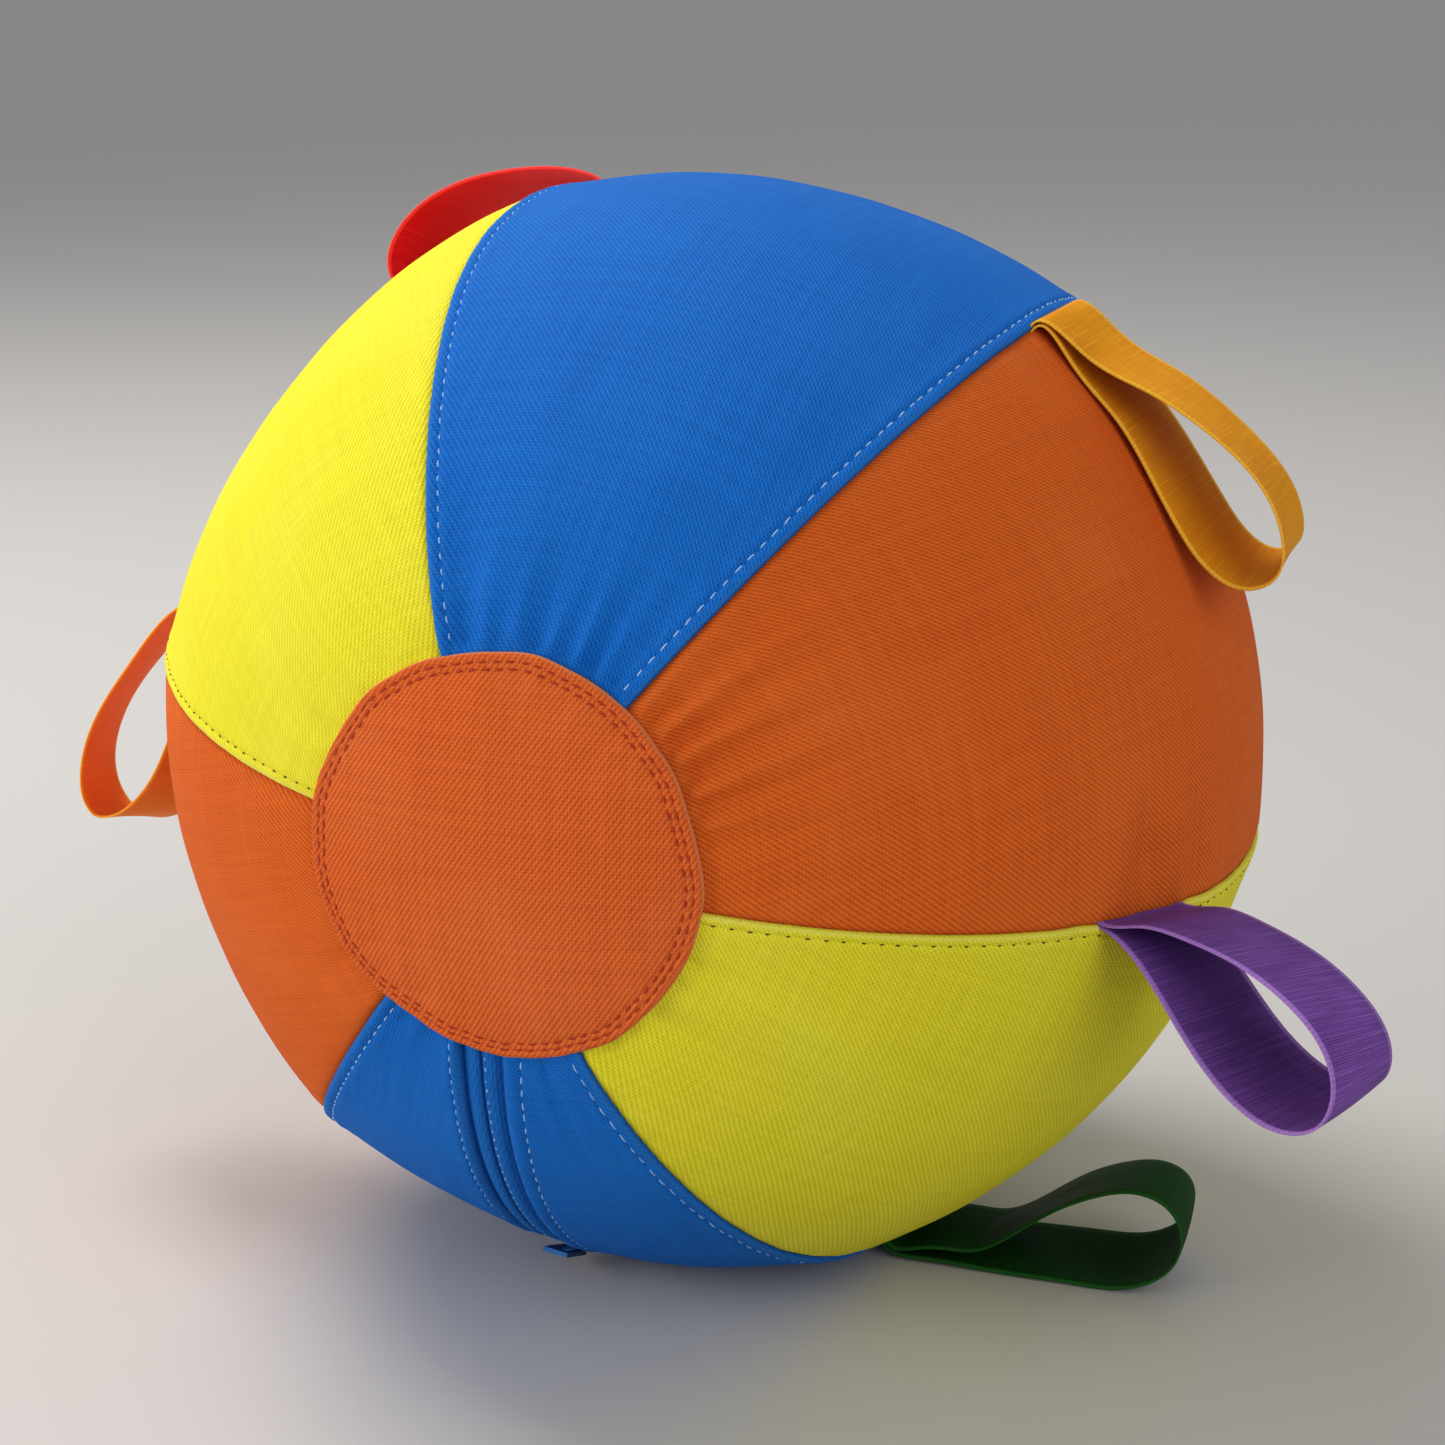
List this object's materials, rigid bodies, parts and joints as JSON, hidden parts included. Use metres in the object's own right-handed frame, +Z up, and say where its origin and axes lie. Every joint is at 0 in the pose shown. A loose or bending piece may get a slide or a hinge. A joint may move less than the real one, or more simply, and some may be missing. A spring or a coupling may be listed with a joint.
{
  "type": "soft sensory ball with ribbon tags",
  "caption": "Soft play ball of bright canvas gores with round end caps over an inflated bladder, with a zip in one gore and ribbon loops sewn into the seams.",
  "frame": {"origin": "centre of the small flat on which the ball rests", "axes": "+Z up; Y along the line through the two round caps, front cap towards -Y; +X to the right of the front cap"},
  "size_m": [0.2967, 0.2224, 0.2165],
  "materials": {
    "cloth_orange": "plain woven cotton canvas, matt with a soft sheen",
    "cloth_blue": "plain woven cotton canvas, matt with a soft sheen",
    "cloth_yellow": "plain woven cotton canvas, matt with a soft sheen",
    "cloth_rust": "plain woven cotton canvas, edge turned under",
    "thread_rust": "spun polyester sewing thread",
    "thread_olive": "spun polyester sewing thread",
    "thread_pale": "spun polyester sewing thread",
    "ribbon_red": "satin ribbon with fine crosswise ribs",
    "ribbon_gold": "satin ribbon with fine crosswise ribs",
    "ribbon_purple": "satin ribbon with fine crosswise ribs",
    "ribbon_green": "satin ribbon with fine crosswise ribs",
    "ribbon_orange": "satin ribbon with fine crosswise ribs",
    "ribbon_blue": "satin ribbon with fine crosswise ribs",
    "zip_tape": "woven polyester tape",
    "zip_coil": "polyester monofilament coil",
    "zip_metal": "plated die-cast zinc, satin",
    "bladder_rubber": "latex bladder, matt",
    "valve_rubber": "moulded rubber plug"
  },
  "bodies": {
    "ball": {"bladder": "bladder_rubber", "bladder_valve": "valve_rubber", "cap_back": "cloth_rust", "cap_front": "cloth_rust", "gore_blue_lower_left": "cloth_blue", "gore_blue_lower_right": "cloth_blue", "gore_blue_upper": "cloth_blue", "gore_orange_left": "cloth_orange", "gore_orange_right": "cloth_orange", "gore_yellow_lower": "cloth_yellow", "gore_yellow_upper": "cloth_yellow", "ribbon_end_blue": "ribbon_blue", "ribbon_end_gold": "ribbon_gold", "ribbon_end_green": "ribbon_green", "ribbon_end_orange": "ribbon_orange", "ribbon_end_purple": "ribbon_purple", "ribbon_end_red": "ribbon_red", "thread_cap_back": "thread_rust", "thread_cap_front": "thread_rust", "thread_seam_blue_orange": "thread_pale", "thread_seam_blue_yellow": "thread_pale", "thread_seam_orange_blue": "thread_pale", "thread_seam_orange_yellow_left": "thread_olive", "thread_seam_orange_yellow_right": "thread_olive", "thread_seam_yellow_blue": "thread_pale", "thread_zip_left": "thread_pale", "thread_zip_right": "thread_pale", "zip_bottom_stop": "zip_metal", "zip_coil_left": "zip_coil", "zip_coil_right": "zip_coil", "zip_tape_left": "zip_tape", "zip_tape_right": "zip_tape", "zip_top_stop_left": "zip_metal", "zip_top_stop_right": "zip_metal"},
    "tag_red": {"tag_red": "ribbon_red"},
    "tag_gold": {"tag_gold": "ribbon_gold"},
    "tag_purple": {"tag_purple": "ribbon_purple"},
    "tag_green": {"tag_green": "ribbon_green"},
    "tag_orange": {"tag_orange": "ribbon_orange"},
    "tag_blue": {"tag_blue": "ribbon_blue"},
    "slider": {"zip_slider": "zip_metal"},
    "pull": {"zip_pull": "zip_metal"}
  },
  "joints": [
    {"name": "tag_red_fold", "type": "hinge", "parent": "ball", "child": "tag_red", "pos_m": [-0.03322, 0.0381, 0.20577], "axis": [0.1085, 0.9397, -0.3243], "range_deg": [0, 110], "stiffness_Nm_per_rad": 0.014},
    {"name": "tag_gold_fold", "type": "hinge", "parent": "ball", "child": "tag_gold", "pos_m": [0.07031, -0.00583, 0.19271], "axis": [0.0331, 0.9986, 0.0406], "range_deg": [-165, 0], "stiffness_Nm_per_rad": 0.014},
    {"name": "tag_purple_fold", "type": "hinge", "parent": "ball", "child": "tag_purple", "pos_m": [0.10067, -0.04442, 0.08911], "axis": [0.3929, 0.9171, -0.0679], "range_deg": [-60, 60], "stiffness_Nm_per_rad": 0.014},
    {"name": "tag_green_fold", "type": "hinge", "parent": "ball", "child": "tag_green", "pos_m": [0.04155, 0, 0.00314], "axis": [0, 1, 0], "range_deg": [-10, 130], "stiffness_Nm_per_rad": 0.014},
    {"name": "tag_orange_fold", "type": "hinge", "parent": "ball", "child": "tag_orange", "pos_m": [-0.10997, 0, 0.12431], "axis": [0, 1, 0], "range_deg": [-5, 85], "stiffness_Nm_per_rad": 0.014},
    {"name": "tag_blue_fold", "type": "hinge", "parent": "ball", "child": "tag_blue", "pos_m": [-0.06309, 0.0523, 0.03104], "axis": [0.3011, 0.8829, 0.3602], "range_deg": [-70, 65], "stiffness_Nm_per_rad": 0.014},
    {"name": "zip_slide", "type": "hinge", "parent": "ball", "child": "slider", "pos_m": [0, 0, 0.1065], "axis": [0.9877, 0, -0.1564], "range_deg": [-42, 0], "deforming": ["zip_tape_left", "zip_tape_right", "zip_coil_left", "zip_coil_right"]},
    {"name": "pull_flip", "type": "hinge", "parent": "slider", "child": "pull", "pos_m": [-0.01633, -0.038, 0.00338], "axis": [0.9877, 0, -0.1564], "range_deg": [0, 150]}
  ]
}
